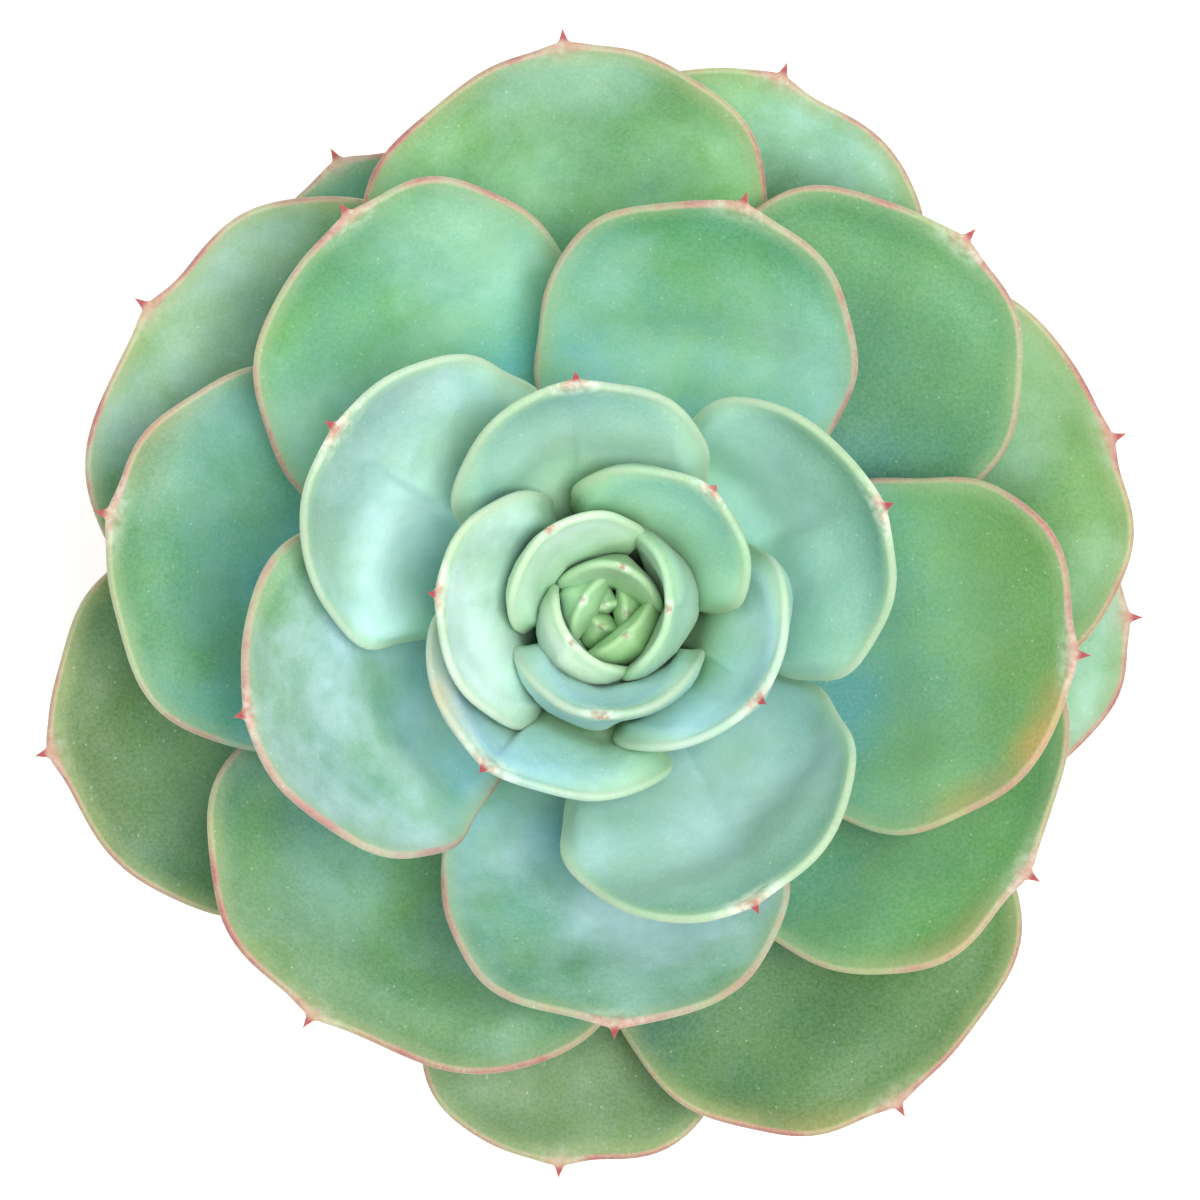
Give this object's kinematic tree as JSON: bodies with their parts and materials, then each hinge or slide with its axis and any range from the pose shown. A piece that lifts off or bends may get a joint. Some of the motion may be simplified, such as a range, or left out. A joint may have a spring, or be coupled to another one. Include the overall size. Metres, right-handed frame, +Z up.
{
  "type": "potted succulent",
  "caption": "Rosette of fleshy, spoon-shaped green leaves with pointed tips on a short woody stem, growing in soil in a tapered terracotta pot with a banded rim and drainage holes.",
  "frame": {"origin": "centre of the pot's flat underside", "axes": "+Z up along the stem, -Z out of the pot's underside; the youngest leaves are in the heart at the top"},
  "size_m": [0.1459, 0.1508, 0.1782],
  "materials": {
    "terracotta": "unglazed fired clay, matt",
    "soil": "moist peat and grit, matt",
    "stem": "corky bark with leaf scars",
    "heart_leaf": "pale mint green, satin under a waxy bloom",
    "inner_leaf": "mint green, satin under a waxy bloom",
    "middle_leaf": "blue-green, satin under a waxy bloom",
    "outer_leaf": "green, satin under a waxy bloom, thin reddish edge",
    "skirt_leaf": "dull green, satin under a waxy bloom"
  },
  "bodies": {
    "root": {"heart_leaf_01": "heart_leaf", "heart_leaf_02": "heart_leaf", "heart_leaf_03": "heart_leaf", "heart_leaf_04": "heart_leaf", "heart_leaf_05": "heart_leaf", "heart_leaf_06": "heart_leaf", "heart_leaf_07": "heart_leaf", "heart_leaf_08": "heart_leaf", "inner_leaf_09": "inner_leaf", "inner_leaf_10": "inner_leaf", "inner_leaf_11": "inner_leaf", "inner_leaf_12": "inner_leaf", "inner_leaf_13": "inner_leaf", "inner_leaf_14": "inner_leaf", "inner_leaf_15": "inner_leaf", "inner_leaf_16": "inner_leaf", "inner_leaf_17": "inner_leaf", "inner_leaf_18": "inner_leaf", "middle_leaf_19": "middle_leaf", "middle_leaf_20": "middle_leaf", "middle_leaf_21": "middle_leaf", "middle_leaf_22": "middle_leaf", "middle_leaf_23": "middle_leaf", "middle_leaf_24": "middle_leaf", "middle_leaf_25": "middle_leaf", "middle_leaf_26": "middle_leaf", "outer_leaf_27": "outer_leaf", "outer_leaf_28": "outer_leaf", "outer_leaf_29": "outer_leaf", "outer_leaf_30": "outer_leaf", "outer_leaf_31": "outer_leaf", "outer_leaf_32": "outer_leaf", "outer_leaf_33": "outer_leaf", "outer_leaf_34": "outer_leaf", "outer_leaf_35": "outer_leaf", "outer_leaf_36": "outer_leaf", "pot": "terracotta", "skirt_leaf_37": "skirt_leaf", "skirt_leaf_38": "skirt_leaf", "skirt_leaf_39": "skirt_leaf", "skirt_leaf_40": "skirt_leaf", "skirt_leaf_41": "skirt_leaf", "skirt_leaf_42": "skirt_leaf", "soil": "soil", "stem": "stem"}
  },
  "joints": []
}
